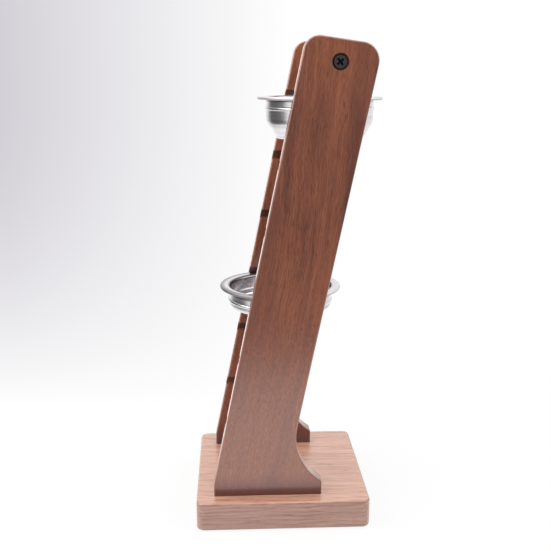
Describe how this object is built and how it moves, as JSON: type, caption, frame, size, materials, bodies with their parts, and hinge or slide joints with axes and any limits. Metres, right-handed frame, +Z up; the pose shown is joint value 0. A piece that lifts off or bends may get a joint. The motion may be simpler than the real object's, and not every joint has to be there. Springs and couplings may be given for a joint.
{
  "type": "portafilter basket stand",
  "caption": "Leaning walnut stand on a light oak board that keeps round steel espresso filter baskets in level grooves between two side panels.",
  "frame": {"origin": "centre of the board's footprint on the surface that the board stands on", "axes": "+Z up, +Y from the open front of the grooves to the back, +X to the right side panel, seen from the front"},
  "size_m": [0.0984, 0.1059, 0.2693],
  "materials": {
    "walnut": "oiled, satin, fine straight grain",
    "oak": "clear satin lacquer, open grain",
    "steel": "polished stainless steel",
    "black_steel": "black oxide, satin"
  },
  "bodies": {
    "root": {"base_board": "oak", "right_side_panel": "walnut", "left_side_panel": "walnut", "crossbar": "walnut", "crossbar_screws": "black_steel", "base_screws": "black_steel", "double_filter_basket": "steel", "shallow_filter_basket": "steel"}
  },
  "joints": []
}
